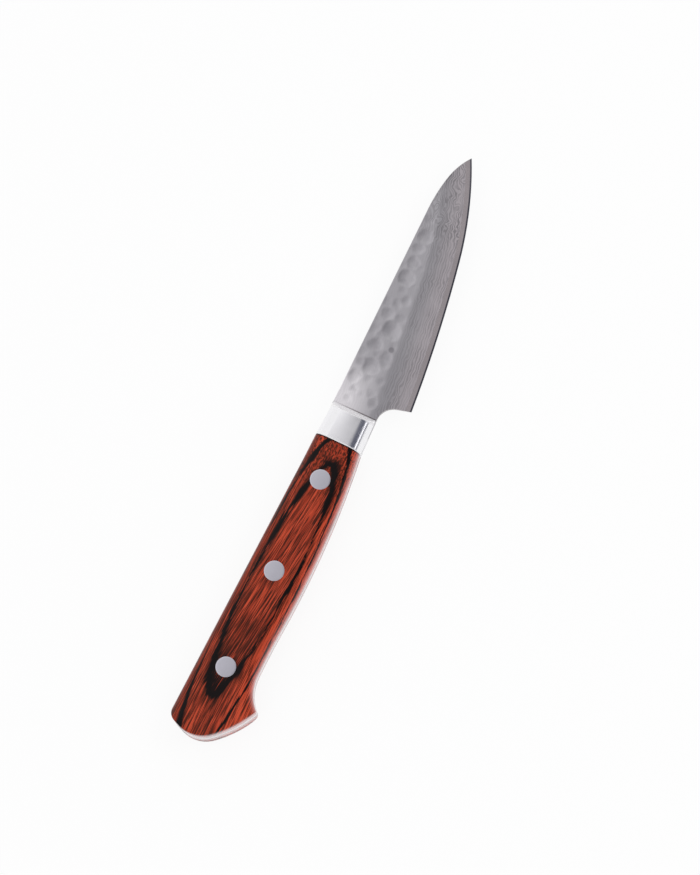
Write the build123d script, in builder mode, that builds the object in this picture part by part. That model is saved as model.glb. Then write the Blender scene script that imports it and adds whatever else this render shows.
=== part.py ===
from build123d import *
from math import atan2, cos, degrees, pi, radians, sin, sqrt, tan
import os

# A small kitchen knife: a hammered, laminated blade, a bolster of two cheeks, and a full-tang
# handle of two laminated-wood scales on three cutler's rivets.
# Lengths are in millimetres. The knife lies on its left side: +X points to the tip, +Y to the
# back and +Z up, out of its right side. The origin is on the table, under the knife's middle.
# "Run" is a distance along the knife from the bolster's front, "rise" and "drop" are distances
# above and below the line of the rivets, seen in plan.

# Blade in plan
blade_length = 85.7            # bolster front to tip
back_rise = 8.0                # the back, at the bolster's front
spine_inset = 20.2             # end of the spine's straight stretch, short of the tip
spine_rise = 8.68
spine_bend_inset = 8.1         # where the spine's slow curve turns into the quick one
spine_bend_rise = 7.48
tip_rise = 3.8
heel_drop = 14.5               # the heel's corner
heel_lean = 2.2                # how far the heel's back leans towards the handle
heel_edge_angle = 5.7          # degrees, slope of the edge at the heel
edge_bend_shares = (0.61, 0.405)  # of its run and rise from heel to tip, where it sweeps up
choil_flat = 0.84              # bolster front to the choil's curve
choil_radius = 5.2

# Blade in section
blade_thickness = 1.9          # at the bolster, and of the tang
tip_thickness = 1.4            # of the flats, carried out to the tip
core_thickness = 0.5           # the hard middle layer
grind_height = 11.5            # edge up to the end of the grind, at full thickness
bevel_height = 0.5             # sharpened bevel along the edge
shoulder_thickness = 0.3       # across the top of that bevel
edge_thickness = 0.04          # left along the very edge

# Hammer dents, on both sides of the blade, in rows that keep to the end of the grind
dent_diameter = 4.8            # of the largest
dent_size_shares = (1.0, 0.62, 0.84, 0.7, 0.94, 0.56, 0.78)
hammer_radius = 14.0           # of the hammer's crowned face
dent_pitch = 5.8               # along the blade
dent_row_pitch = 3.7
dent_wander = 0.6              # how far a dent strays from its row
dent_margin = 1.9              # the lowest row's height over the end of the dents
dent_start = 3.0               # the bolster's front to the first dents
dent_field_height = 12.6       # the spine down to the end of the dents, beside the bolster

# Bolster
bolster_length = 11.9
bolster_front_drop = 6.15
bolster_rear_drop = 6.62
bolster_taper = 1.1            # each cheek comes in this much from rear to front
bolster_slope_run = 2.0        # length of its sloping front
weld_share = 0.5               # of the bolster's length, where blade and tang are welded
cheek_round_share = 0.97       # of a cheek's wall at its front, the most that its edges round

# Handle
handle_length = 108.4          # bolster front to the butt
handle_thickness = 12.4
handle_round = 4.0             # along the back and the belly
back_bend_reach = 8.1          # bolster's rear to where the back starts to rise
back_bend_radius = 400.0
belly_angle = 8.1              # degrees, slope of the belly where it leaves the bolster
belly_inset = 39.4             # end of the belly's bulge, from the butt
belly_drop = 9.25
waist_inset = 24.3             # where the belly turns down into the hook, from the butt
waist_drop = 9.0
hook_inset = 14.3              # the hook's corner, from the butt
hook_drop = 13.7
hook_round = 1.0
butt_radius = 9.65             # round end of the butt
butt_centre_rise = 1.4
butt_start_angle = 155.0       # degrees, where the round end starts and how far it goes
butt_arc_angle = 67.0
butt_corner_inset = 2.4        # corner of butt and back, from the butt
butt_corner_rise = 9.42
butt_corner_round = 4.4

# Rivets: a headed pin pressed into a headed sleeve
front_rivet_reach = 12.1       # behind the bolster
rear_rivet_inset = 22.1        # from the butt
middle_rivet_share = 0.49      # of the way from the front rivet to the rear one
rivet_head_diameter = 6.2
rivet_head_height = 2.4
sleeve_diameter = 4.2
pin_diameter = 2.8
sleeve_end_gap = 0.3           # the sleeve's end to the pin's head
pin_end_gap = 0.6              # the pin's end to the sleeve's head
rivet_clearance = 0.03         # round each part of a rivet

overrun = 2.0                  # of every cut, past what it cuts

# Places that follow from these sizes
overall_length = blade_length + handle_length
overall_width = heel_drop + butt_corner_rise
half_handle = handle_thickness / 2
half_blade = blade_thickness / 2
half_core = core_thickness / 2
front_x = overall_length / 2 - blade_length
rivet_y = overall_width / 2 - butt_corner_rise
plan = Plane(origin=(front_x, rivet_y, half_handle))
side_view = Plane(origin=plan.origin, x_dir=(1, 0, 0), z_dir=(0, -1, 0))
bolster_front = Plane(origin=plan.origin, z_dir=(1, 0, 0))
bolster_rear = bolster_front.offset(-bolster_length)
weld = bolster_front.offset(-bolster_length * weld_share)

spine_run = blade_length - spine_inset
heel_turn = atan2(heel_drop - bolster_front_drop, heel_lean)
choil_run = choil_flat + choil_radius * tan(heel_turn / 2)
heel = (choil_run + heel_lean, -heel_drop)
tip = (blade_length, tip_rise)
edge_bend = tuple(a + (b - a) * share for a, b, share in zip(heel, tip, edge_bend_shares))
belly_end = (belly_inset - handle_length, -belly_drop)
waist = (waist_inset - handle_length, -waist_drop)
hook = (hook_inset - handle_length, -hook_drop)
butt_centre = (butt_radius - handle_length, butt_centre_rise)
butt_corner = (butt_corner_inset - handle_length, butt_corner_rise)
back_bend = (-bolster_length - back_bend_reach, back_rise)
edge_round = min(handle_round, (half_handle - bolster_taper - half_blade) * cheek_round_share)
front_rivet_run = bolster_length + front_rivet_reach
rear_rivet_run = handle_length - rear_rivet_inset
rivet_runs = {
    "front": front_rivet_run,
    "middle": front_rivet_run + (rear_rivet_run - front_rivet_run) * middle_rivet_share,
    "rear": rear_rivet_run,
}


def cutting_edge():
    """The edge in plan: a long shallow arc from the heel, and one that sweeps up to the tip."""
    slope = radians(heel_edge_angle)
    shallow = TangentArc(heel, edge_bend, tangent=(cos(slope), sin(slope)))
    sweeping = TangentArc(edge_bend, tip, tangent=shallow % 1)
    return shallow, sweeping


# The knife's outline in plan, with sharp corners at the butt
with BuildSketch(plan) as outline:
    with BuildLine():
        spine = Line((0, back_rise), (spine_run, spine_rise))
        slow_bend_end = (blade_length - spine_bend_inset, spine_bend_rise)
        slow_bend = TangentArc(spine @ 1, slow_bend_end, tangent=spine % 1)
        TangentArc(slow_bend @ 1, tip, tangent=slow_bend % 1)
        cutting_edge()
        choil_corner = (choil_run, -bolster_front_drop)
        FilletPolyline(heel, choil_corner, (0, -bolster_front_drop), radius=choil_radius)
        belly_front = (-bolster_length, -bolster_rear_drop)
        Line((0, -bolster_front_drop), belly_front)
        fall = radians(belly_angle)
        belly = TangentArc(belly_front, belly_end, tangent=(-cos(fall), -sin(fall)))
        rise_to_waist = TangentArc(belly @ 1, waist, tangent=belly % 1)
        TangentArc(waist, hook, tangent=rise_to_waist % 1)
        butt = CenterArc(butt_centre, butt_radius, butt_start_angle, butt_arc_angle)
        TangentArc(butt @ 1, hook, tangent=butt % 1)
        Line(butt @ 0, butt_corner)
        FilletPolyline(butt_corner, back_bend, (0, back_rise), radius=back_bend_radius)
    make_face()

# The same with its butt corners rounded
with BuildSketch(plan) as rounded_outline:
    add(outline.sketch_local)
    fillet(rounded_outline.vertices().sort_by_distance(butt_corner)[0], butt_corner_round)
    fillet(rounded_outline.vertices().sort_by_distance(hook)[0], hook_round)


def flat_half(run):
    """Half the thickness of the blade's flats at this run: they thin evenly towards the tip."""
    return half_blade - (blade_thickness - tip_thickness) / 2 * run / blade_length


def grinder(arc, side):
    """What the grindstone takes from one side, right of one arc of the edge: a conical band."""
    centre, radius = arc.arc_center, arc.radius
    middle = arc @ 0.5
    turn = degrees(arc.length / radius)
    first = turn if arc is shallow_edge else turn / 2
    last = turn if arc is sweeping_edge else turn / 2
    toward_edge = (middle - centre).normalized()
    start = toward_edge.rotate(Axis.Z, -first)
    section = Plane(origin=plan.from_local_coords(centre), x_dir=start, z_dir=start.cross(Vector(0, 0, 1)))
    shoulder = shoulder_thickness / 2
    edge_half = edge_thickness / 2
    wide_slope = (half_blade - shoulder) / (grind_height - bevel_height)
    bevel_slope = (shoulder - edge_half) / bevel_height
    wide_end = grind_height + overrun
    top = half_blade + overrun
    profile = [
        (radius - bevel_height, shoulder),
        (radius + overrun, edge_half - bevel_slope * overrun),
        (radius + overrun, top),
        (radius - wide_end, top),
        (radius - wide_end, half_blade + wide_slope * overrun),
    ]
    with BuildPart(mode=Mode.PRIVATE) as band:
        with BuildSketch(section):
            with BuildLine():
                Polyline([(reach, side * height) for reach, height in profile], close=True)
            make_face()
        revolve(axis=Axis(section.origin, (0, 0, 1)), revolution_arc=first + last)
        split(bisect_by=bolster_front, keep=Keep.TOP)
    return band.part


def flat_taper(side):
    """The thin wedge off one side of the blade, so that its flats taper to the tip."""
    far = blade_length + overrun
    with BuildPart(mode=Mode.PRIVATE) as wedge:
        with BuildSketch(side_view):
            with BuildLine():
                far_top = half_blade + overrun
                Polyline(
                    (0, side * half_blade),
                    (far, side * flat_half(far)),
                    (far, side * far_top),
                    (0, side * far_top),
                    close=True,
                )
            make_face()
        extrude(amount=overall_width, both=True)
    return wedge.part


def dent_places(side):
    """Centres and sizes of the hammer dents on one side, row by row up to the spine."""
    places = []
    golden_angle = pi * (3 - sqrt(5))
    rows = int(dent_field_height / dent_row_pitch) + 1
    columns = int((spine_run - dent_start) / dent_pitch) + 1
    for row in range(rows):
        for column in range(columns):
            count = row * columns + column
            stray = golden_angle * (count + side)
            stagger = dent_pitch / 2 * (row % 2)
            run = dent_start + column * dent_pitch + stagger + dent_wander * cos(stray)
            field = dent_field_height * (1 - (run / spine_run) ** 2)
            below_spine = field - dent_margin - row * dent_row_pitch + dent_wander * sin(stray)
            if below_spine > 0:
                spine_here = back_rise + (spine_rise - back_rise) * run / spine_run
                size = dent_diameter * dent_size_shares[(count * 2 + side) % len(dent_size_shares)]
                places.append((run, spine_here - below_spine, size))
    return places


shallow_edge, sweeping_edge = cutting_edge()

# The blade before its layers are told apart
with BuildPart() as blade:
    extrude(outline.sketch, amount=half_blade, both=True)
    split(bisect_by=weld, keep=Keep.TOP)
    for side in (1, -1):
        add(flat_taper(side), mode=Mode.SUBTRACT)
        add(grinder(shallow_edge, side), mode=Mode.SUBTRACT)
        add(grinder(sweeping_edge, side), mode=Mode.SUBTRACT)

# Core: the hard middle layer, which comes out along the edge
with BuildPart() as blade_core:
    add(blade.part)
    split(bisect_by=plan.offset(half_core), keep=Keep.BOTTOM)
    split(bisect_by=plan.offset(-half_core), keep=Keep.TOP)
blade_core.part.label = "blade_core"


def cladding(side, name):
    """One soft outer layer of the blade, down to its side's flat, with its hammer dents."""
    with BuildPart(mode=Mode.PRIVATE) as layer:
        add(blade.part)
        split(bisect_by=plan.offset(side * half_core), keep=Keep.TOP if side > 0 else Keep.BOTTOM)
        for run, rise, size in dent_places(side):
            face_centre = sqrt(hammer_radius ** 2 - size ** 2 / 4)
            with Locations(plan.location * Location((run, rise, side * (flat_half(run) + face_centre)))):
                Sphere(hammer_radius, rotation=(90, 0, 0), mode=Mode.SUBTRACT)
    layer.part.label = name
    return layer.part


right_cladding = cladding(1, "right_cladding")
left_cladding = cladding(-1, "left_cladding")

# Tang: the plate that runs on through the handle, with the rivets' holes
with BuildPart() as tang:
    extrude(rounded_outline.sketch, amount=half_blade, both=True)
    split(bisect_by=weld, keep=Keep.BOTTOM)
    with BuildSketch(plan):
        with Locations(*[(-run, 0) for run in rivet_runs.values()]):
            Circle(sleeve_diameter / 2 + rivet_clearance)
    extrude(amount=blade_thickness, both=True, mode=Mode.SUBTRACT)
tang.part.label = "tang"

# Bolster cheeks: flush with the scales, thinner towards the front, which slopes down to the blade
with BuildPart() as right_bolster:
    extrude(outline.sketch, amount=half_handle)
    with BuildSketch(side_view):
        with BuildLine():
            Polyline(
                (-bolster_length, half_blade),
                (0, half_blade),
                (-bolster_slope_run, half_handle - bolster_taper),
                (-bolster_length, half_handle),
                close=True,
            )
        make_face()
    extrude(amount=overall_width, both=True, mode=Mode.INTERSECT)
    top = right_bolster.faces().sort_by(Axis.Z)[-1]
    fillet(top.edges().filter_by(Axis.Y, reverse=True), edge_round)
right_bolster.part.label = "right_bolster"

# Scales, bored for the rivets' sleeves and sunk for their heads
with BuildPart() as right_scale:
    extrude(outline.sketch, amount=half_handle)
    split(bisect_by=bolster_rear, keep=Keep.BOTTOM)
    split(bisect_by=plan.offset(half_blade), keep=Keep.TOP)
    rim = right_scale.edges().group_by(Axis.Z)[-1].filter_by(Axis.Y, reverse=True)
    fillet(rim.filter_by(lambda edge: edge.center().X > front_x + hook[0]), edge_round)
    extrude(rounded_outline.sketch, amount=half_handle, mode=Mode.INTERSECT)
    with BuildSketch(plan):
        with Locations(*[(-run, 0) for run in rivet_runs.values()]):
            Circle(sleeve_diameter / 2 + rivet_clearance)
    extrude(amount=handle_thickness, mode=Mode.SUBTRACT)
    with BuildSketch(plan.offset(half_handle - rivet_head_height)):
        with Locations(*[(-run, 0) for run in rivet_runs.values()]):
            Circle(rivet_head_diameter / 2 + rivet_clearance)
    extrude(amount=handle_thickness, mode=Mode.SUBTRACT)
right_scale.part.label = "right_scale"


def left_twin(right, name):
    """The left-hand piece that mirrors a right-hand one in the middle of the blade."""
    with BuildPart(mode=Mode.PRIVATE) as twin:
        mirror(right.part, about=plan)
    twin.part.label = name
    return twin.part


left_bolster = left_twin(right_bolster, "left_bolster")
left_scale = left_twin(right_scale, "left_scale")


def rivet_pin(name, run):
    """The rivet's right half: a head, flush with the scale, and the pin under it."""
    head_floor = half_handle - rivet_head_height
    pin_end = -head_floor + pin_end_gap
    with BuildPart(mode=Mode.PRIVATE) as half:
        with BuildSketch(plan.offset(head_floor)):
            with Locations((-run, 0)):
                Circle(rivet_head_diameter / 2)
        extrude(amount=rivet_head_height)
        with BuildSketch(plan.offset(pin_end)):
            with Locations((-run, 0)):
                Circle(pin_diameter / 2)
        extrude(amount=head_floor - pin_end)
    half.part.label = f"{name}_rivet_pin"
    return half.part


def rivet_sleeve(name, run):
    """The rivet's left half: a head and the bored sleeve that takes the pin."""
    head_floor = half_handle - rivet_head_height
    sleeve_end = head_floor - sleeve_end_gap
    with BuildPart(mode=Mode.PRIVATE) as half:
        with BuildSketch(plan.offset(-half_handle)):
            with Locations((-run, 0)):
                Circle(rivet_head_diameter / 2)
        extrude(amount=rivet_head_height)
        with BuildSketch(plan.offset(-head_floor)):
            with Locations((-run, 0)):
                Circle(sleeve_diameter / 2)
                Circle(pin_diameter / 2 + rivet_clearance, mode=Mode.SUBTRACT)
        extrude(amount=sleeve_end + head_floor)
    half.part.label = f"{name}_rivet_sleeve"
    return half.part


pieces = [blade_core.part, right_cladding, left_cladding, tang.part]
pieces += [right_bolster.part, left_bolster, right_scale.part, left_scale]
for rivet, rivet_run in rivet_runs.items():
    pieces += [rivet_pin(rivet, rivet_run), rivet_sleeve(rivet, rivet_run)]

os.makedirs("parts", exist_ok=True)
for piece in pieces:
    export_step(piece, f"parts/{piece.label}.step")

whole = Compound(children=pieces).bounding_box()
print("size", whole.size, "centre", whole.center())
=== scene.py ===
import bpy
import math
import numpy as np
from mathutils import Matrix, Vector


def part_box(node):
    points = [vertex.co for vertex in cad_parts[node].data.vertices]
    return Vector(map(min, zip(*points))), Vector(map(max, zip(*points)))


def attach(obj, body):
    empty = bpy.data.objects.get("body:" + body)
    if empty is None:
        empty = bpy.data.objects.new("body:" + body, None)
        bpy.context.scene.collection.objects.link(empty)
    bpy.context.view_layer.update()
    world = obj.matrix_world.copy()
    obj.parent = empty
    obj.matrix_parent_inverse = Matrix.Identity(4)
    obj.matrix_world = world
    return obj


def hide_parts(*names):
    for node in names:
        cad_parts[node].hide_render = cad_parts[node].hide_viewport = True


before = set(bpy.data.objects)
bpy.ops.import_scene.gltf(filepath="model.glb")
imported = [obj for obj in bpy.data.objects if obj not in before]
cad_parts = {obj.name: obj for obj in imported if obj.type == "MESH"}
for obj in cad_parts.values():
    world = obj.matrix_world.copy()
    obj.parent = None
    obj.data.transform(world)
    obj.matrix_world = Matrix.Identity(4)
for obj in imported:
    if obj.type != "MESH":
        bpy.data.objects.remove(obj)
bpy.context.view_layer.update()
print("frame loaded,", len(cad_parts), "nodes")

# Everything about the knife is laid out in millimetres from one corner: x from the bolster's
# front, y from the line of the rivets, z from the middle of the blade.
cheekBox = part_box("right_bolster")
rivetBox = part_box("middle_rivet_pin")
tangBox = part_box("tang")
corner = Vector((cheekBox[1][0], (rivetBox[0][1] + rivetBox[1][1]) / 2, (tangBox[0][2] + tangBox[1][2]) / 2))
perMm = 0.001

knife = {
    "seamDistance": 0.002,    # mm, points nearer than this are one
    "sharpAngle": 38.0,       # degrees, edges sharper than this stay sharp
    "handleThickness": 12.4,
    "bladeThickness": 1.9,
    "coreThickness": 0.5,
}
halfHandle = knife["handleThickness"] / 2
halfBlade = knife["bladeThickness"] / 2
halfCore = knife["coreThickness"] / 2
sides = (("right", 1.0), ("left", -1.0))
noCut = 50.0                  # mm, a cut so high that it takes nothing


# Helpers for node trees
def findSocket(sockets, key):
    if isinstance(key, int):
        return sockets[key]
    for socket in sockets:
        if socket.identifier == key:
            return socket
    return sockets[key]


def addNode(tree, kind, inputs=None, **settings):
    node = tree.nodes.new(kind)
    for name, value in settings.items():
        setattr(node, name, value)
    for key, value in (inputs or {}).items():
        socket = findSocket(node.inputs, key)
        if isinstance(value, bpy.types.NodeSocket):
            tree.links.new(value, socket)
        else:
            socket.default_value = value
    return node


def linkInputs(tree, node, values):
    for name, value in values.items():
        tree.links.new(value, node.inputs[name])


def calc(tree, operation, *values):
    return addNode(tree, "ShaderNodeMath", dict(enumerate(values)), operation=operation).outputs[0]


def chain(tree, operation, values):
    total = values[0]
    for value in values[1:]:
        total = calc(tree, operation, total, value)
    return total


def times(tree, *values):
    return chain(tree, "MULTIPLY", values)


def plus(tree, *values):
    return chain(tree, "ADD", values)


def larger(tree, *values):
    return chain(tree, "MAXIMUM", values)


def minus(tree, first, second):
    return calc(tree, "SUBTRACT", first, second)


def timesPlus(tree, value, factor, added):
    return calc(tree, "MULTIPLY_ADD", value, factor, added)


def vectorCalc(tree, operation, *values):
    node = addNode(tree, "ShaderNodeVectorMath", dict(enumerate(values)), operation=operation)
    return node.outputs["Value"] if operation in ("LENGTH", "DISTANCE") else node.outputs[0]


def scaleVector(tree, vector, factor):
    return addNode(tree, "ShaderNodeVectorMath", {0: vector, "Scale": factor}, operation="SCALE").outputs[0]


def joinXyz(tree, x=0.0, y=0.0, z=0.0):
    return addNode(tree, "ShaderNodeCombineXYZ", {0: x, 1: y, 2: z}).outputs[0]


def splitXyz(tree, vector):
    return addNode(tree, "ShaderNodeSeparateXYZ", {0: vector}).outputs


def blendFloat(tree, factor, first, second):
    return addNode(tree, "ShaderNodeMix", {"Factor_Float": factor, "A_Float": first, "B_Float": second},
                   data_type="FLOAT").outputs[0]


def blendColor(tree, factor, first, second):
    return addNode(tree, "ShaderNodeMix", {"Factor_Float": factor, "A_Color": first, "B_Color": second},
                   data_type="RGBA").outputs[2]


def mapRange(tree, value, fromLow, fromHigh, toLow=0.0, toHigh=1.0, smooth=True):
    limits = {"From Min": fromLow, "From Max": fromHigh, "To Min": toLow, "To Max": toHigh}
    return addNode(tree, "ShaderNodeMapRange", {"Value": value, **limits},
                   interpolation_type="SMOOTHSTEP" if smooth else "LINEAR").outputs[0]


def noise(tree, vector, scale=1.0, detail=2.0, roughness=0.5, seed=0.0, distortion=0.0, output=0):
    # scale: one number, or one for each axis
    if isinstance(scale, tuple):
        vector, scale = vectorCalc(tree, "MULTIPLY", vector, scale), 1.0
    inputs = {"Vector": vector, "W": seed, "Scale": scale, "Detail": detail, "Roughness": roughness,
              "Distortion": distortion}
    return addNode(tree, "ShaderNodeTexNoise", inputs, noise_dimensions="4D").outputs[output]


def newGroup(name, kind, inputs, outputs):
    tree = bpy.data.node_groups.new(name, kind)
    for way, sockets in (("INPUT", inputs), ("OUTPUT", outputs)):
        for socketName, socketType in sockets:
            tree.interface.new_socket(name=socketName, in_out=way, socket_type="NodeSocket" + socketType)
    return tree, tree.nodes.new("NodeGroupInput").outputs, tree.nodes.new("NodeGroupOutput")


def useGroup(tree, group, inputs):
    kind = "GeometryNodeGroup" if tree.bl_idname == "GeometryNodeTree" else "ShaderNodeGroup"
    return addNode(tree, kind, inputs, node_tree=group).outputs


# Helpers for lines in plan
def tangentArc(start, heading, end, steps=60):
    start, heading, end = (np.array(v, float) for v in (start, heading, end))
    heading /= np.linalg.norm(heading)
    side = np.array([-heading[1], heading[0]])
    chord = end - start
    radius = chord @ chord / (2 * (chord @ side))
    centre = start + side * radius
    first = math.atan2(*(start - centre)[::-1])
    turn = 2 * math.atan2(chord @ side, chord @ heading)
    angles = first + np.linspace(0, turn, steps)
    points = centre + abs(radius) * np.stack([np.cos(angles), np.sin(angles)], -1)
    leaving = heading * math.cos(turn) + side * math.sin(turn)
    return points, leaving


def roundCorner(before, point, after, radius, steps=24):
    before, point, after = (np.array(v, float) for v in (before, point, after))
    back = (before - point) / np.linalg.norm(before - point)
    ahead = (after - point) / np.linalg.norm(after - point)
    half = math.acos(back @ ahead) / 2
    start = point + back * radius / math.tan(half)
    return tangentArc(start, -back, point + ahead * radius / math.tan(half), steps)[0]


def lineObject(name, points, joined=True, breaks=()):
    # breaks: the points that no edge leaves, where one line ends and the next starts
    edges = [(i, i + 1) for i in range(len(points) - 1) if i not in breaks] if joined else []
    mesh = bpy.data.meshes.new(name)
    mesh.from_pydata([tuple(p) for p in points], edges, [])
    made = bpy.data.objects.new(name, mesh)
    bpy.context.scene.collection.objects.link(made)
    return made


def sideBySide(*lists):
    return [(x, y, 0.0) for points in lists for x, y in points]


# The knife's lines in plan
outline = {
    "bladeLength": 85.7, "backRise": 8.0, "spineRun": 65.5, "spineRise": 8.68,
    "spineBend": (77.6, 7.48), "tip": (85.7, 3.8), "heel": (7.05, -14.5), "heelSlope": 5.7,
    "edgeShares": (0.61, 0.405), "choilCorner": (4.85, -6.15), "choilRadius": 5.2,
    "bolsterLength": 11.5, "frontDrop": 6.15, "rearDrop": 6.62, "weldRun": -5.95,
    "bellySlope": 8.1, "bellyEnd": (-69.0, -9.25), "waist": (-84.1, -9.0), "hook": (-94.1, -13.7),
    "buttCentre": (-98.75, 1.4), "buttRadius": 9.65, "buttStart": 155.0, "buttTurn": 67.0,
    "buttCorner": (-106.0, 9.42), "buttCornerRound": 4.4, "hookRound": 1.0, "backBend": (-20.0, 8.0),
    "backBendRadius": 400.0,
    "pastHeel": 16.0, "pastTip": 6.0, "pastButt": 0.07,   # the lines run on, so that distances to them hold
}


def edgeLines():
    slope = math.radians(outline["heelSlope"])
    heading = np.array([math.cos(slope), math.sin(slope)])
    heel, tip = np.array(outline["heel"]), np.array(outline["tip"])
    bend = heel + (tip - heel) * outline["edgeShares"]
    before = heel - outline["pastHeel"] * heading
    shallow, turned = tangentArc(heel, heading, bend, 120)
    sweeping, leaving = tangentArc(bend, turned, tip, 120)
    after = tip + outline["pastTip"] * leaving / np.linalg.norm(leaving)
    return np.vstack([[before], shallow, sweeping[1:], [after]])


def spineLine():
    start, bend = np.array((0.0, outline["backRise"])), np.array((outline["spineRun"], outline["spineRise"]))
    slow, heading = tangentArc(bend, bend - start, outline["spineBend"])
    quick, _ = tangentArc(outline["spineBend"], heading, outline["tip"])
    return np.vstack([[(outline["weldRun"] - 2, outline["backRise"])], [start], slow, quick[1:]])


def bellyLine():
    slope = math.radians(outline["bellySlope"])
    front = (-outline["bolsterLength"], -outline["rearDrop"])
    bulge, heading = tangentArc(front, (-math.cos(slope), -math.sin(slope)), outline["bellyEnd"], 90)
    rise, heading = tangentArc(outline["bellyEnd"], heading, outline["waist"], 40)
    dip, _ = tangentArc(outline["waist"], heading, outline["hook"], 60)
    return np.vstack([bulge, rise[1:], dip[1:]])


def buttLine():
    centre, radius = np.array(outline["buttCentre"]), outline["buttRadius"]
    angles = np.radians(outline["buttStart"] + np.linspace(0, outline["buttTurn"], 80))
    arc = centre + radius * np.stack([np.cos(angles), np.sin(angles)], -1)
    leaving = (-math.sin(angles[-1]), math.cos(angles[-1]))
    toHook, _ = tangentArc(arc[-1], leaving, outline["hook"], 60)
    return arc, toHook


backFront = (0, outline["backRise"])
backLine = np.vstack([
    [(6.0, outline["backRise"])],
    roundCorner(backFront, outline["backBend"], outline["buttCorner"], outline["backBendRadius"]),
    [outline["buttCorner"]],
])
edgeLine, spine, belly = edgeLines(), spineLine(), bellyLine()
buttArc, buttToHook = buttLine()


# Helpers for geometry node trees
def integerCalc(tree, operation, first, second):
    return addNode(tree, "FunctionNodeIntegerMath", {0: first, 1: second}, operation=operation).outputs[0]


def startGrid(tree, columns, rows):
    # A flat grid, with each point's column and row
    grid = addNode(tree, "GeometryNodeMeshGrid", {"Vertices X": columns, "Vertices Y": rows}).outputs["Mesh"]
    index = addNode(tree, "GeometryNodeInputIndex").outputs[0]
    return grid, integerCalc(tree, "DIVIDE_FLOOR", index, rows), integerCalc(tree, "MODULO", index, rows)


def placeField(tree):
    return addNode(tree, "GeometryNodeInputPosition").outputs[0]


def namedField(tree, name):
    return addNode(tree, "GeometryNodeInputNamedAttribute", {"Name": name}, data_type="FLOAT").outputs[0]


def pick(tree, geometry, value, at, kind="FLOAT_VECTOR"):
    return addNode(tree, "GeometryNodeSampleIndex", {"Geometry": geometry, "Value": value, "Index": at},
                   data_type=kind, domain="POINT", clamp=True).outputs[0]


def storeField(tree, geometry, name, value):
    stored = {"Geometry": geometry, "Name": name, "Value": value}
    return addNode(tree, "GeometryNodeStoreNamedAttribute", stored,
                   data_type="FLOAT", domain="POINT").outputs[0]


def objectGeometry(tree, socket):
    info = addNode(tree, "GeometryNodeObjectInfo", {"Object": socket}, transform_space="ORIGINAL")
    return info.outputs["Geometry"]


def distanceTo(tree, socket, place):
    return addNode(tree, "GeometryNodeProximity",
                   {"Target": objectGeometry(tree, socket), "Source Position": place},
                   target_element="EDGES").outputs["Distance"]


def movePoints(tree, geometry, place, seam):
    moved = addNode(tree, "GeometryNodeSetPosition", {"Geometry": geometry, "Position": place}).outputs[0]
    return addNode(tree, "GeometryNodeMergeByDistance", {"Geometry": moved, "Distance": seam}).outputs[0]


def shadeFaces(tree, geometry, sharpAngle):
    kind = "GeometryNodeSetShadeSmooth"
    smooth = addNode(tree, kind, {"Geometry": geometry, "Shade Smooth": True}).outputs[0]
    angle = addNode(tree, "GeometryNodeInputMeshEdgeAngle").outputs[0]
    sharp = calc(tree, "GREATER_THAN", angle, calc(tree, "RADIANS", sharpAngle))
    return addNode(tree, kind, {"Geometry": smooth, "Selection": sharp, "Shade Smooth": False},
                   domain="EDGE").outputs[0]


def endTree(tree, result, geometry, finish):
    realized = addNode(tree, "GeometryNodeRealizeInstances", {"Geometry": geometry}).outputs[0]
    painted = addNode(tree, "GeometryNodeSetMaterial", {"Geometry": realized, "Material": finish})
    linkInputs(tree, result, {"Geometry": painted.outputs[0]})
    return tree


# Geometry node trees
def makeRuledGrid():
    # A grid bent into a ring of rows round two rails. Rails: the lower one's points, then the
    # upper one's. Section: x across from rail to rail, y up from the floor to the top.
    tree, given, result = newGroup(
        "ruled grid", "GeometryNodeTree",
        [("Rails", "Geometry"), ("Section", "Geometry"), ("Columns", "Int"), ("Rows", "Int")],
        [("Grid", "Geometry"), ("Place", "Vector"), ("Lift", "Float"), ("Top", "Float"), ("Cut", "Float"),
         ("Crown", "Float")])
    grid, column, row = startGrid(tree, given["Columns"], given["Rows"])
    rails, place = given["Rails"], placeField(tree)
    low = splitXyz(tree, pick(tree, rails, place, column))
    high = splitXyz(tree, pick(tree, rails, place, integerCalc(tree, "ADD", column, given["Columns"])))
    section = splitXyz(tree, pick(tree, given["Section"], place, row))
    closing = pick(tree, rails, namedField(tree, "closing"), column, "FLOAT")
    crown = pick(tree, rails, namedField(tree, "crown"), column, "FLOAT")
    across = blendFloat(tree, closing, section[0], 0.5)   # a closed end is one point, in the middle
    width = minus(tree, high[1], low[1])
    offMiddle = times(tree, width, minus(tree, across, 0.5))
    linkInputs(tree, result, {
        "Grid": grid, "Place": joinXyz(tree, low[0], timesPlus(tree, width, across, low[1])),
        "Lift": blendFloat(tree, closing, section[1], 0.5), "Top": low[2], "Cut": high[2],
        "Crown": times(tree, offMiddle, offMiddle, crown)})
    return tree


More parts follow.
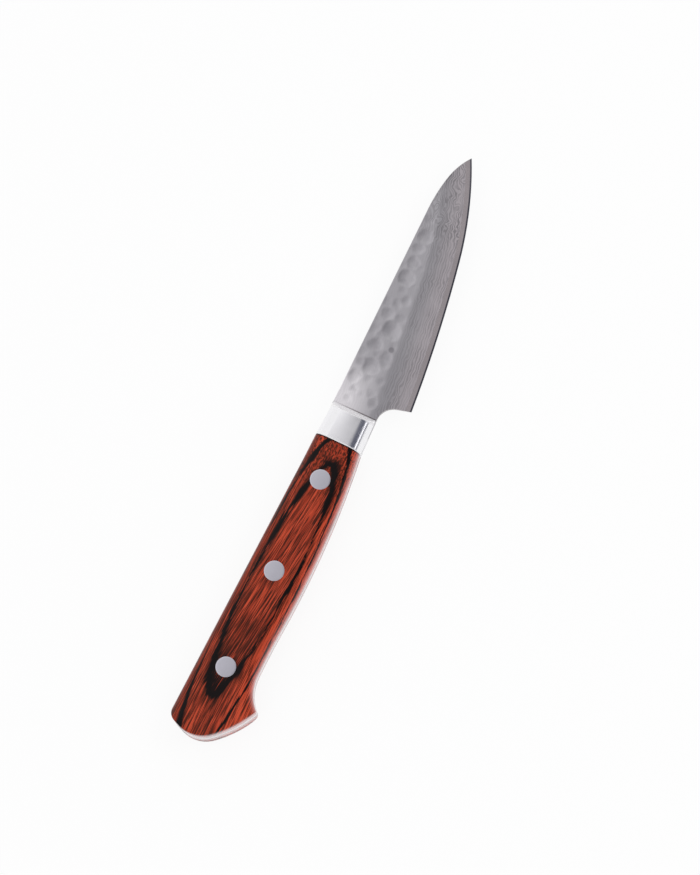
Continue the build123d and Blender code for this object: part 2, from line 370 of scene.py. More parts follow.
def makeShellFinish():
    # Moves the grid's points, closes its seams, turns it the right way round and shades it
    tree, given, result = newGroup(
        "shell finish", "GeometryNodeTree",
        [("Grid", "Geometry"), ("Place", "Vector"), ("Height", "Float"), ("Side", "Float"),
         ("Corner", "Vector"), ("Seam Distance", "Float"), ("Sharp Angle", "Float"), ("Finish", "Material")],
        [("Geometry", "Geometry")])
    height = times(tree, given["Height"], given["Side"])
    inMm = vectorCalc(tree, "ADD", given["Place"], joinXyz(tree, 0.0, 0.0, height))
    at = vectorCalc(tree, "ADD", scaleVector(tree, inMm, perMm), given["Corner"])
    merged = movePoints(tree, given["Grid"], at, times(tree, given["Seam Distance"], perMm))
    mirrored = calc(tree, "GREATER_THAN", given["Side"], 0.0)
    turned = addNode(tree, "GeometryNodeFlipFaces", {"Mesh": merged, "Selection": mirrored}).outputs[0]
    return endTree(tree, result, shadeFaces(tree, turned, given["Sharp Angle"]), given["Finish"])


ruledGrid, shellFinish = makeRuledGrid(), makeShellFinish()
passedOn = [("Side", "Float"), ("Corner", "Vector"), ("Seam Distance", "Float"), ("Sharp Angle", "Float"),
            ("Finish", "Material")]
shellInputs = [("Geometry", "Geometry"), ("Section", "Object"), ("Columns", "Int"), ("Rows", "Int"),
               ("Floor", "Float")] + passedOn


def openShell(tree, given):
    return useGroup(tree, ruledGrid, {
        "Rails": given["Geometry"], "Section": objectGeometry(tree, given["Section"]),
        "Columns": given["Columns"], "Rows": given["Rows"]})


def closeShell(tree, given, result, grid, points, top):
    # Stretches the ring from the floor up to its top, and finishes it
    span = larger(tree, minus(tree, top, given["Floor"]), 0.0)
    made = useGroup(tree, shellFinish, {
        "Grid": points, "Place": grid["Place"], "Height": timesPlus(tree, span, grid["Lift"], given["Floor"]),
        **{name: given[name] for name, _ in passedOn}})
    linkInputs(tree, result, {"Geometry": made["Geometry"]})
    return tree


def makeRoundedSlab():
    # A slab between two rails whose top rim is rounded along its given lines
    tree, given, result = newGroup(
        "rounded slab", "GeometryNodeTree",
        shellInputs + [("Rim", "Object"), ("Rim Radius", "Float"), ("Blend", "Float")],
        [("Geometry", "Geometry")])
    grid = openShell(tree, given)
    radius = given["Rim Radius"]
    reach = calc(tree, "MINIMUM", distanceTo(tree, given["Rim"], grid["Place"]), radius)
    inside = minus(tree, radius, reach)
    chord = minus(tree, times(tree, radius, radius), times(tree, inside, inside))
    drop = minus(tree, radius, calc(tree, "SQRT", larger(tree, chord, 0.0)))
    rounded = minus(tree, grid["Top"], plus(tree, drop, grid["Crown"]))
    top = calc(tree, "SMOOTH_MIN", rounded, grid["Cut"], given["Blend"])
    return closeShell(tree, given, result, grid, grid["Grid"], top)


def dentDepth(tree, given, place):
    # Every dent is the cap of a sphere, and a slow wander keeps its outline from being a circle
    wander = noise(tree, place, 0.33, 2.0, 0.5, given["Seed"], output="Color")
    shifted = scaleVector(tree, vectorCalc(tree, "SUBTRACT", wander, (0.5, 0.5, 0.5)), given["Dent Wander"])
    struck = vectorCalc(tree, "ADD", place, vectorCalc(tree, "MULTIPLY", shifted, (1.0, 1.0, 0.0)))
    loopIn = tree.nodes.new("GeometryNodeRepeatInput")
    loopOut = tree.nodes.new("GeometryNodeRepeatOutput")
    loopIn.pair_with_output(loopOut)
    loopOut.repeat_items.clear()
    loopOut.repeat_items.new("FLOAT", "Depth")
    tree.links.new(given["Dent Count"], loopIn.inputs["Iterations"])
    loopIn.inputs["Depth"].default_value = -9.0          # lower than any dent reaches
    dents = objectGeometry(tree, given["Dents"])
    dent = splitXyz(tree, pick(tree, dents, placeField(tree), loopIn.outputs["Iteration"]))
    away = vectorCalc(tree, "DISTANCE", struck, joinXyz(tree, dent[0], dent[1]))
    half = times(tree, dent[2], 0.5)
    room = minus(tree, times(tree, half, half), times(tree, away, away))
    sunk = calc(tree, "DIVIDE", room, times(tree, given["Hammer Radius"], 2.0))
    deeper = calc(tree, "SMOOTH_MAX", loopIn.outputs["Depth"], sunk, given["Dent Softness"])
    linkInputs(tree, loopOut, {"Depth": deeper})
    return loopOut.outputs["Depth"]


def makeHammeredBlade():
    # One outer layer of the blade: flats that thin to the tip, the grind down to the edge, and
    # hammer dents. Dents: one point each, its z is the dent's diameter.
    tree, given, result = newGroup(
        "hammered blade", "GeometryNodeTree",
        shellInputs + [
            ("Edge", "Object"), ("Dents", "Object"), ("Dent Count", "Int"), ("Hammer Radius", "Float"),
            ("Dent Softness", "Float"), ("Dent Wander", "Float"), ("Thinning", "Float"),
            ("Bevel Top", "Float"), ("Bevel Height", "Float"), ("Grind Slope", "Float"),
            ("Ripple", "Float"), ("Seed", "Float")],
        [("Geometry", "Geometry")])
    grid = openShell(tree, given)
    place = grid["Place"]
    reach = distanceTo(tree, given["Edge"], place)
    flat = minus(tree, grid["Top"], times(tree, given["Thinning"], splitXyz(tree, place)[0]))
    aboveBevel = minus(tree, reach, given["Bevel Height"])
    ground = timesPlus(tree, aboveBevel, given["Grind Slope"], given["Bevel Top"])
    plain = calc(tree, "SMOOTH_MIN", flat, ground, 0.05)
    raw = dentDepth(tree, given, place)
    depth = calc(tree, "SMOOTH_MAX", raw, 0.0, given["Dent Softness"])
    # The hammered flats ripple a little too, but not beside the edge
    ripple = noise(tree, place, 0.22, 1.0, 0.5, given["Seed"])
    uneven = times(tree, minus(tree, ripple, 0.5), given["Ripple"])
    uneven = times(tree, uneven, mapRange(tree, reach, 2.0, 4.0))
    beaten = minus(tree, plus(tree, flat, uneven), depth)
    top = calc(tree, "SMOOTH_MIN", beaten, plain, 0.02)
    kept = storeField(tree, grid["Grid"], "grindReach", reach)
    kept = storeField(tree, kept, "dentDepth", raw)
    return closeShell(tree, given, result, grid, kept, top)


def makeTurnedParts():
    # One turned part at each point of the mesh. Profile: x out from the axis, y along it.
    tree, given, result = newGroup(
        "turned parts", "GeometryNodeTree",
        [("Geometry", "Geometry"), ("Profile", "Object"), ("Profile Points", "Int"), ("Segments", "Int"),
         ("Seam Distance", "Float"), ("Sharp Angle", "Float"), ("Finish", "Material")],
        [("Geometry", "Geometry")])
    around = integerCalc(tree, "ADD", given["Segments"], 1)
    grid, column, row = startGrid(tree, around, given["Profile Points"])
    angle = times(tree, calc(tree, "DIVIDE", column, given["Segments"]), 2 * math.pi)
    out, along, _ = splitXyz(tree, pick(tree, objectGeometry(tree, given["Profile"]), placeField(tree), row))
    spot = joinXyz(tree, times(tree, out, calc(tree, "COSINE", angle)),
                   times(tree, out, calc(tree, "SINE", angle)), along)
    seam = times(tree, given["Seam Distance"], perMm)
    merged = movePoints(tree, grid, scaleVector(tree, spot, perMm), seam)
    part = shadeFaces(tree, merged, given["Sharp Angle"])
    placed = addNode(tree, "GeometryNodeInstanceOnPoints", {"Points": given["Geometry"], "Instance": part})
    return endTree(tree, result, placed.outputs[0], given["Finish"])


roundedSlab, hammeredBlade, turnedParts = makeRoundedSlab(), makeHammeredBlade(), makeTurnedParts()
print("geometry node trees ready")


def growPiece(name, host, tree, values):
    # Runs the tree on the host mesh and keeps the result as a plain mesh
    modifier = host.modifiers.new("grow", "NODES")
    modifier.node_group = tree
    for item in tree.interface.items_tree:
        if item.item_type == "SOCKET" and item.in_out == "INPUT" and item.name in values:
            modifier[item.identifier] = values[item.name]
    evaluated = host.evaluated_get(bpy.context.evaluated_depsgraph_get())
    mesh = bpy.data.meshes.new_from_object(evaluated)
    host.modifiers.remove(modifier)
    mesh.name = name
    piece = bpy.data.objects.new(name, mesh)
    bpy.context.scene.collection.objects.link(piece)
    print(name, len(mesh.polygons), "faces")
    return piece


def level(height):
    return lambda xs: np.full_like(xs, height)


def railMesh(name, columns, low, high, top, cut, capped=(), crown=level(0.0)):
    # columns: x places; capped: which ends ("first", "last") close on one point
    xs = list(columns)
    closing = [0.0] * len(xs)
    if "first" in capped:
        xs, closing = [xs[0]] + xs, [1.0] + closing
    if "last" in capped:
        xs, closing = xs + [xs[-1]], closing + [1.0]
    xs = np.array(xs)
    lows = np.stack([xs, low(xs), top(xs)], -1)
    highs = np.stack([xs, high(xs), cut(xs)], -1)
    made = lineObject(name, np.vstack([lows, highs]), joined=False)
    for label, values in (("closing", closing), ("crown", list(crown(xs)))):
        attribute = made.data.attributes.new(label, "FLOAT", "POINT")
        attribute.data.foreach_set("value", values + values)
    return made, len(xs)


def ringSection(name, floorSteps, wallSteps, across):
    # Round once: floor, upper wall, top back to the lower rail, lower wall
    points = [(t, 0.0) for t in np.linspace(0, 1, floorSteps)]
    points += [(1.0, s) for s in wallSteps]
    points += [(1 - t, 1.0) for t in across]
    points += [(0.0, s) for s in wallSteps[::-1]]
    points += [(0.0, 0.0)]
    return lineObject(name, sideBySide(points)), len(points)


def spacedBoth(near, count):
    # Distances from 0 to 1, close together near both ends
    middle = 0.5 - 0.5 * np.cos(np.linspace(0, math.pi, count))
    return np.unique(np.round(np.concatenate([near, middle * (1 - 2 * near[-1]) + near[-1], 1 - near]), 6))


helpers = []
shared = {"Corner": corner, "Seam Distance": knife["seamDistance"], "Sharp Angle": knife["sharpAngle"]}


# Helpers for materials
def newMaterial(name):
    material = bpy.data.materials.new(name)
    material.use_nodes = True
    tree = material.node_tree
    return material, tree, tree.nodes["Principled BSDF"]


def placeInMm(tree):
    # Object coordinates, in millimetres from the knife's own corner, also as x, y and z
    at = addNode(tree, "ShaderNodeTexCoord").outputs["Object"]
    place = scaleVector(tree, vectorCalc(tree, "SUBTRACT", at, tuple(corner)), 1 / perMm)
    return place, splitXyz(tree, place)


def endMaterial(tree, shader, looks, height, bump):
    # looks: what feeds each socket; bump: its strength and its height in mm
    relief = {"Height": height, "Strength": bump[0], "Distance": bump[1] * perMm}
    normal = addNode(tree, "ShaderNodeBump", relief).outputs[0]
    linkInputs(tree, shader, {**looks, "Normal": normal})


def layColors(tree, base, layers):
    # Each layer: where it lies, how much of it, and its colour
    for mask, share, color in layers:
        base = blendColor(tree, times(tree, mask, share), base, color)
    return base


# Effects shared by materials
def makeScratches():
    tree, given, result = newGroup(
        "fine scratches", "ShaderNodeTree",
        [("Vector", "Vector"), ("Along", "Vector"), ("Density", "Float"), ("Seed", "Float")],
        [("Mask", "Float")])
    stretched = vectorCalc(tree, "MULTIPLY", given["Vector"], given["Along"])
    first = noise(tree, stretched, 1.0, 3.0, 0.6, given["Seed"])
    second = noise(tree, stretched, 2.7, 2.0, 0.5, given["Seed"])
    mixed = timesPlus(tree, second, 0.45, times(tree, first, 0.55))
    edge = minus(tree, 0.62, times(tree, given["Density"], 0.2))
    linkInputs(tree, result, {"Mask": mapRange(tree, mixed, edge, plus(tree, edge, 0.16))})
    return tree


def makeHandling():
    tree, given, result = newGroup(
        "handling marks", "ShaderNodeTree",
        [("Vector", "Vector"), ("Size", "Float"), ("Seed", "Float")], [("Mask", "Float")])
    scaled = scaleVector(tree, given["Vector"], calc(tree, "DIVIDE", 1.0, given["Size"]))
    broad = noise(tree, scaled, 1.0, 4.0, 0.55, given["Seed"], 0.4)
    linkInputs(tree, result, {"Mask": mapRange(tree, broad, 0.36, 0.66)})
    return tree


def makeLayeredSteel():
    # Wavy fine lines where grinding has cut through many thin layers
    tree, given, result = newGroup(
        "layered steel", "ShaderNodeTree",
        [("Vector", "Vector"), ("Reach", "Float"), ("Pitch", "Float"), ("Wave", "Float"), ("Curl", "Float"),
         ("Seed", "Float")],
        [("Lines", "Float"), ("Contrast", "Float")])
    at, seed = given["Vector"], given["Seed"]
    slow = noise(tree, at, (0.22, 0.42, 0.0), 2.0, 0.5, seed, 0.3)
    curled = noise(tree, at, 0.3, 1.2, 0.5, seed, 0.5)
    jitter = noise(tree, at, (0.9, 2.2, 0.0), 2.0, 0.5, seed)
    moved = given["Reach"]
    for pattern, amount in ((slow, given["Wave"]), (curled, given["Curl"]), (jitter, 0.25)):
        moved = timesPlus(tree, minus(tree, pattern, 0.5), amount, moved)
    phase = times(tree, calc(tree, "DIVIDE", moved, given["Pitch"]), 2 * math.pi)
    swing = timesPlus(tree, calc(tree, "SINE", phase), 0.5, 0.5)
    slower = timesPlus(tree, calc(tree, "SINE", times(tree, phase, 0.37)), 0.5, 0.5)
    lines = timesPlus(tree, slower, 0.3, times(tree, swing, 0.7))
    patchy = noise(tree, at, (0.12, 0.3, 0.0), 2.0, 0.5, plus(tree, seed, 7.0))
    linkInputs(tree, result, {
        "Lines": mapRange(tree, lines, 0.2, 0.8), "Contrast": mapRange(tree, patchy, 0.35, 0.62, 0.35, 1.0)})
    return tree


def makeDarkLayer():
    # A dark layer of the laminate where the scale's shape cuts it: a long closed loop. All its
    # widths are in millimetres from that loop.
    tree, given, result = newGroup(
        "dark layer", "ShaderNodeTree",
        [("Vector", "Vector"), ("Grain", "Vector"), ("Centre", "Vector"), ("Half Size", "Vector"),
         ("Power", "Float"), ("Width", "Float"), ("Back Width", "Float"), ("Fray", "Float"),
         ("Wander", "Float"), ("Seed", "Float")],
        [("Band", "Float"), ("Halo", "Float"), ("Inside", "Float")])
    at, seed, power = given["Vector"], given["Seed"], given["Power"]
    centred = vectorCalc(tree, "SUBTRACT", at, given["Centre"])
    fromCentre = vectorCalc(tree, "ABSOLUTE", centred)
    shares = splitXyz(tree, vectorCalc(tree, "DIVIDE", fromCentre, given["Half Size"]))
    half = splitXyz(tree, given["Half Size"])
    # The loop is a superellipse; its value over its slope is the distance from it
    powered = plus(tree, calc(tree, "POWER", shares[0], power), calc(tree, "POWER", shares[1], power))
    ring = calc(tree, "POWER", powered, calc(tree, "DIVIDE", 1.0, power))
    less = minus(tree, power, 1.0)
    along, across = (calc(tree, "DIVIDE", calc(tree, "POWER", shares[i], less), half[i]) for i in (0, 1))
    slope = calc(tree, "SQRT", plus(tree, times(tree, along, along), times(tree, across, across)))
    slope = calc(tree, "DIVIDE", slope, calc(tree, "POWER", ring, less))
    away = calc(tree, "DIVIDE", minus(tree, ring, 1.0), larger(tree, slope, 0.01))
    slow = noise(tree, at, (0.07, 0.2, 0.0), 2.0, 0.5, seed)
    fray = noise(tree, given["Grain"], (0.16, 2.4, 0.0), 2.0, 0.6, seed)
    patch = noise(tree, at, (0.09, 0.12, 0.0), 1.0, 0.5, plus(tree, seed, 3.0))
    away = timesPlus(tree, minus(tree, slow, 0.5), given["Wander"], away)
    frayed = timesPlus(tree, minus(tree, fray, 0.5), given["Fray"], calc(tree, "ABSOLUTE", away))
    # It is wider along the back, in patches, and towards both its ends
    onBack = mapRange(tree, splitXyz(tree, centred)[1], -1.0, 1.0)
    wide = blendFloat(tree, onBack, given["Width"], given["Back Width"])
    wide = times(tree, wide, mapRange(tree, patch, 0.35, 0.6, 0.45, 1.25))
    wide = times(tree, wide, timesPlus(tree, calc(tree, "POWER", shares[0], 3.0), 2.3, 1.0))
    linkInputs(tree, result, {
        "Band": mapRange(tree, frayed, times(tree, wide, 1.3), times(tree, wide, 0.6)),
        "Halo": mapRange(tree, frayed, plus(tree, times(tree, wide, 2.0), 0.9), wide),
        "Inside": mapRange(tree, away, 0.4, -0.8)})
    return tree


scratches, handling = makeScratches(), makeHandling()
layeredSteel, darkLayer = makeLayeredSteel(), makeDarkLayer()


def wearMasks(tree, at, worn):
    # Fine scratches, and the marks that hands leave
    hair = useGroup(tree, scratches, {
        "Vector": at, "Along": worn["along"], "Density": worn["density"], "Seed": worn["hairSeed"]})["Mask"]
    marks = useGroup(tree, handling, {
        "Vector": at, "Size": worn["markSize"], "Seed": worn["markSeed"]})["Mask"]
    return hair, marks


def makeSteel(name, steel, refine=None):
    # Plain steel with its wear; refine changes what feeds the shader, from the place in mm
    material, tree, shader = newMaterial(name)
    at, xyz = placeInMm(tree)
    hair, marks = wearMasks(tree, at, steel)
    base = layColors(tree, steel["color"], [(hair, steel["scratched"], steel["scratchColor"])])
    rough = timesPlus(tree, marks, steel["markRoughness"], steel["roughness"])
    looks = {"Base Color": base, "Roughness": rough}
    shader.inputs["Metallic"].default_value = 1.0
    if refine:
        looks = refine(tree, xyz, hair, looks)
    endMaterial(tree, shader, looks, hair, steel["bump"])
    return material


# Blade
blade = {
    "steelColor": (0.505, 0.492, 0.515, 1), "paintedLightColor": (0.96, 0.93, 0.955, 1),
    "warmColor": (0.655, 0.607, 0.628, 1), "lineColor": (0.27, 0.255, 0.27, 1),
    "dentShadeColor": (0.3, 0.29, 0.315, 1), "spotColor": (0.16, 0.15, 0.17, 1), "dullAndShadeColor": (0.12, 0.095, 0.1, 1),
    "roughness": 0.3, "markSize": 16.0, "markSeed": 5.0, "along": (0.5, 7.0, 0.0), "density": 0.45,
    "hairSeed": 4.0, "bump": (0.3, 0.006),
    "linePitch": 0.76, "lineWave": 2.4, "lineCurl": 1.1, "tipCurl": 3.6,
    "eyes": ((64.3, 3.4), (67.6, 6.0), (70.4, 0.3)), "eyeHeight": 1.5,   # closed rings in the layers
    "spot": (21.5, -0.75, 0.0),   # one small pit that is almost black
    "thinning": 0.25 / outline["bladeLength"], "bevelTop": 0.15, "bevelHeight": 0.5,
    "grindSlope": 0.8 / 11.0,     # rise over run, from the top of the bevel to the flats
    "hammerRadius": 21.0, "dentSoftness": 0.025, "dentWander": 2.2, "dentSpread": 1.18, "ripple": 0.06,
    "columnStep": 0.32, "rowCount": 66, "tipStretch": 3,   # mm before the tip with closer columns
    "coreShowsAt": 1.875,         # height over the edge where the middle layer comes out
}

# Dents on the right side: run, distance below the spine, diameter
rightDents = [
    (4.7, 11.2, 3.6), (7.0, 9.4, 2.8), (11.7, 10.7, 2.8), (18.8, 8.6, 3.6), (19.2, 5.8, 2.8),
    (10.5, 6.4, 2.4), (5.7, 6.6, 2.0), (9.7, 2.2, 4.0), (14.5, 5.4, 4.8), (14.4, 2.3, 2.8),
    (22.6, 9.0, 2.4), (21.0, 3.8, 4.4), (26.8, 6.5, 5.1), (25.3, 1.5, 3.2), (31.2, 7.3, 3.2),
    (28.4, 1.1, 2.0), (31.3, 3.5, 3.6), (37.0, 6.5, 3.2), (39.0, 0.7, 1.2), (39.6, 3.9, 2.4),
    (41.9, 6.8, 1.6), (43.5, 3.4, 4.8), (48.5, 3.4, 3.6), (46.8, 0.9, 2.4), (53.2, 2.7, 3.6),
    (51.8, 0.7, 2.0), (57.7, 3.2, 4.4), (62.7, 1.7, 3.2), (16.6, 8.9, 3.0), (34.6, 1.9, 3.0),
    (35.2, 4.4, 3.2), (2.6, 3.4, 2.2), (24.6, 4.4, 2.4), (48.0, 5.9, 2.4), (17.6, 1.4, 2.4), (6.4, 4.2, 2.6),
]


def spineAt(run):
    return np.interp(run, spine[:, 0], spine[:, 1])


def dentObject(name, dents):
    points = [(run, float(spineAt(run)) - below, size * blade["dentSpread"]) for run, below, size in dents]
    return lineObject(name, points, joined=False)


# Rows of dents on the left side; deepest: how far below the spine they reach beside the bolster
leftRows = {
    "seed": 11, "count": 4, "firstRun": 3.0, "lastRun": 64.0, "firstBelow": 1.5, "apart": 3.1, "drift": 0.8,
    "deepest": 12.6, "margin": 0.6, "gaps": (3.4, 5.6), "sizes": (2.2, 4.8),
}


def leftDents():
    # The other side was hammered by the same hand, in rows that drift
    steps = np.random.default_rng(leftRows["seed"])
    drift = leftRows["drift"]
    dents = []
    for row in range(leftRows["count"]):
        run = leftRows["firstRun"] + steps.uniform(0, 2)
        while run < leftRows["lastRun"]:
            below = leftRows["firstBelow"] + row * leftRows["apart"] + steps.uniform(-drift, drift)
            room = leftRows["deepest"] * (1 - (run / outline["spineRun"]) ** 2) - leftRows["margin"]
            if below < room:
                dents.append((run, below, steps.uniform(*leftRows["sizes"])))
            run += steps.uniform(*leftRows["gaps"])
    return dents


def claddingRails():
    normals = np.gradient(edgeLine, axis=0)
    normals /= np.linalg.norm(normals, axis=1)[:, None]
    lifted = edgeLine + blade["coreShowsAt"] * np.stack([-normals[:, 1], normals[:, 0]], -1)
    front = (0, -outline["frontDrop"])
    choil = roundCorner(front, outline["choilCorner"], outline["heel"], outline["choilRadius"], 60)
    rear = (-outline["bolsterLength"], -outline["rearDrop"])
    heelSide = np.vstack([[rear], [front], choil, [outline["heel"]]])

    def low(xs):
        back = np.interp(xs, heelSide[:, 0], heelSide[:, 1], right=-99)
        return np.maximum(back, np.interp(xs, lifted[:, 0], lifted[:, 1]))

    def high(xs):
        return np.maximum(spineAt(xs), low(xs))

    fine = np.linspace(80, outline["bladeLength"], 4000)
    end = fine[np.argmax(spineAt(fine) - low(fine) <= 0)]
    # Even columns, with more of them at the heel, along the choil and towards the tip
    near = blade["tipStretch"]
    places = np.concatenate([
        np.arange(outline["weldRun"], end - near, blade["columnStep"]),
        np.arange(4.2, 7.0, 0.06), np.arange(0.5, 4.2, 0.16),
        end - near * (1 - np.linspace(0, 1, 30)) ** 1.6, [0.0, end],
    ])
    return low, high, np.unique(np.round(places, 4))


bladeRowPlaces = spacedBoth(np.array([0.004, 0.012]), blade["rowCount"])
bladeSection, bladeRows = ringSection("bladeSection", 3, [0.3, 0.72, 0.93], bladeRowPlaces)
edgeObject = lineObject("edgeLine", sideBySide(edgeLine))
helpers += [bladeSection, edgeObject]
bladeLow, bladeHigh, bladeColumns = claddingRails()


def cornerShadeAndDarkWall(tree, xyz, reach):
    # Painted shade in the corner against the bolster, deeper towards the belly, and darker on the wall of the
    # choil
    pastBolster = mapRange(tree, xyz[0], -0.25, -0.05)
    inCorner = times(tree, mapRange(tree, xyz[0], 0.5, 0.12), pastBolster)
    cornerDepth = mapRange(tree, xyz[1], 9.0, -4.0, 0.12, 0.85)
    ground = timesPlus(tree, reach, blade["grindSlope"], blade["bevelTop"] - 0.07)
    onWall = mapRange(tree, minus(tree, ground, calc(tree, "ABSOLUTE", xyz[2])), 0.0, 0.06)
    onWall = times(tree, onWall, mapRange(tree, xyz[1], -4.6, -5.6), pastBolster)
    return larger(tree, times(tree, inCorner, cornerDepth), times(tree, onWall, 0.7))


def makeBladeMaterial():
    material, tree, shader = newMaterial("hammered layered steel")
    at, xyz = placeInMm(tree)
    hair, marks = wearMasks(tree, at, blade)
    reach = addNode(tree, "ShaderNodeAttribute", attribute_name="grindReach").outputs["Fac"]
    depth = addNode(tree, "ShaderNodeAttribute", attribute_name="dentDepth").outputs["Fac"]
    towardTip = mapRange(tree, xyz[0], 50.0, 68.0)
    lifted = reach
    for run, rise in blade["eyes"]:
        offEye = joinXyz(tree, times(tree, minus(tree, xyz[0], run), 0.55), minus(tree, xyz[1], rise))
        eye = mapRange(tree, vectorCalc(tree, "LENGTH", offEye), 1.7, 0.1)
        lifted = timesPlus(tree, eye, blade["eyeHeight"], lifted)
    layers = useGroup(tree, layeredSteel, {
        "Vector": at, "Reach": lifted, "Pitch": blade["linePitch"], "Wave": blade["lineWave"],
        "Curl": blendFloat(tree, towardTip, blade["lineCurl"], blade["tipCurl"]), "Seed": 2.0})
    mottle = useGroup(tree, handling, {"Vector": at, "Size": 3.2, "Seed": 15.0})["Mask"]
    # The lines show on the grind and at the tip, and hardly among the dents
    shown = larger(tree, mapRange(tree, reach, 11.5, 8.0), times(tree, towardTip, 0.95), 0.14)
    lineMask = times(tree, layers["Lines"], layers["Contrast"], shown)
    # Painted light: brighter near the bolster and towards the spine
    nearBolster = times(tree, mapRange(tree, xyz[0], 19.0, 2.0), mapRange(tree, reach, 9.0, 21.0))
    # Painted shade: darker inside the dents, more in some than in others
    inDent = times(tree, mapRange(tree, depth, -0.01, 0.1), mapRange(tree, mottle, 0.0, 1.0, 0.06, 0.32))
    fromSpot = vectorCalc(tree, "DISTANCE", joinXyz(tree, xyz[0], xyz[1]), blade["spot"])
    base = layColors(tree, blade["steelColor"], [
        (mapRange(tree, reach, 9.0, 2.5), 1.0, blade["warmColor"]), (nearBolster, 1.0, blade["paintedLightColor"]),
        (lineMask, blendFloat(tree, towardTip, 0.6, 0.85), blade["lineColor"]),
        (inDent, 1.0, blade["dentShadeColor"]), (mapRange(tree, fromSpot, 1.15, 0.6), 0.5, blade["spotColor"]),
        # Painted shade in the corner against the bolster
        (cornerShadeAndDarkWall(tree, xyz, reach), 1.0, blade["dullAndShadeColor"])])
    shader.inputs["Metallic"].default_value = 1.0
    rough = timesPlus(tree, marks, 0.07, blade["roughness"])
    rough = timesPlus(tree, hair, 0.06, rough)
    rough = timesPlus(tree, lineMask, 0.1, rough)
    etched = timesPlus(tree, hair, -0.25, times(tree, lineMask, -1.0))
    endMaterial(tree, shader, {"Base Color": base, "Roughness": rough}, etched, blade["bump"])
    return material


core = {
    "color": (0.69, 0.628, 0.635, 1), "scratchColor": (0.55, 0.505, 0.52, 1), "scratched": 1.0,
    "bevelReflectionColor": (0.22, 0.21, 0.24, 1), "roughness": 0.13, "markRoughness": 0.06, "markSize": 9.0,
    "markSeed": 1.0, "along": (5.0, 1.2, 1.2), "density": 0.5, "hairSeed": 9.0, "bump": (0.2, 0.003),
}


def paintBevelReflection(tree, xyz, _, looks):
    # The sharpened bevel, thinner than the rest, gets a painted dark reflection, the darkest line of the
    # blade
    onBevel = mapRange(tree, calc(tree, "ABSOLUTE", xyz[2]), 0.16, 0.14)
    return {**looks, "Base Color": layColors(tree, looks["Base Color"], [(onBevel, 1.0, core["bevelReflectionColor"])])}


bladeSteel, coreSteel = makeBladeMaterial(), makeSteel("honed core steel", core, paintBevelReflection)
for sideName, side in sides:
    dents = rightDents if side > 0 else leftDents()
    rails, columnCount = railMesh(sideName + "BladeRails", bladeColumns, bladeLow, bladeHigh,
                                  level(halfBlade), level(noCut), capped=("first",))
    dentPoints = dentObject(sideName + "Dents", dents)
    piece = growPiece(sideName + "Cladding", rails, hammeredBlade, {
        **shared, "Section": bladeSection, "Columns": columnCount, "Rows": bladeRows, "Floor": halfCore,
        "Side": side, "Finish": bladeSteel, "Edge": edgeObject, "Dents": dentPoints, "Dent Count": len(dents),
        "Hammer Radius": blade["hammerRadius"], "Dent Softness": blade["dentSoftness"],
        "Dent Wander": blade["dentWander"], "Thinning": blade["thinning"], "Bevel Top": blade["bevelTop"],
        "Bevel Height": blade["bevelHeight"], "Grind Slope": blade["grindSlope"], "Ripple": blade["ripple"],
        "Seed": 3.0 + side})
    helpers += [rails, dentPoints]
    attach(piece, "root")
    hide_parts(sideName + "_cladding")

# Bolster
bolster = {
    "color": (0.9, 0.895, 0.915, 1), "scratchColor": (0.7, 0.7, 0.73, 1), "scratched": 0.25,
    "dullAndShadeColor": (0.93, 0.92, 0.93, 1), "roughness": 0.16, "slopeRoughness": 0.5, "markRoughness": 0.06,
    "markSize": 7.0, "markSeed": 14.0, "along": (6.0, 0.5, 0.5), "density": 0.5, "hairSeed": 12.0,
    "bump": (0.05, 0.003), "taper": 1.1, "slopeRun": 2.0, "rimRadius": 4.0, "blend": 0.25,
    "frontCrown": 32.0, "rearCrown": 105.0,    # radii of its top, across the knife
    "slopeFoot": 0.02,            # how far above the blade's flat the front slope ends
}


def dullSlope(tree, xyz, hair, looks):
    # Dull and pale on the sloping front and along the joint with the wood
    dull = larger(tree, mapRange(tree, xyz[0], -2.3, -1.5), mapRange(tree, xyz[0], -11.0, -11.4))
    rough = timesPlus(tree, hair, 0.05, looks["Roughness"])
    return {
        "Base Color": layColors(tree, looks["Base Color"], [(dull, 1.0, bolster["dullAndShadeColor"])]),
        "Roughness": blendFloat(tree, dull, rough, bolster["slopeRoughness"]),
        "Metallic": timesPlus(tree, dull, -0.55, 1.0)}


bolsterSteel = makeSteel("polished bolster steel", bolster, dullSlope)
rimNear = np.array([0.005, 0.015, 0.032, 0.055, 0.085, 0.12, 0.16, 0.205, 0.25])
slabSection, slabRows = ringSection("slabSection", 5, [0.35, 0.7, 0.97], spacedBoth(rimNear, 26))
helpers.append(slabSection)


def cheekLow(xs):
    deeper = outline["rearDrop"] - outline["frontDrop"]
    return -outline["frontDrop"] + deeper * xs / outline["bolsterLength"]


def cheekTop(xs):
    run = outline["bolsterLength"] - bolster["slopeRun"]
    return halfHandle - bolster["taper"] * (xs + outline["bolsterLength"]) / run


def cheekCut(xs):
    foot = halfBlade + bolster["slopeFoot"]
    return foot - xs * (halfHandle - bolster["taper"] - halfBlade) / bolster["slopeRun"]


def cheekCrown(xs):
    share = 1 + xs / outline["bolsterLength"]
    return (share / bolster["frontCrown"] + (1 - share) / bolster["rearCrown"]) / 2


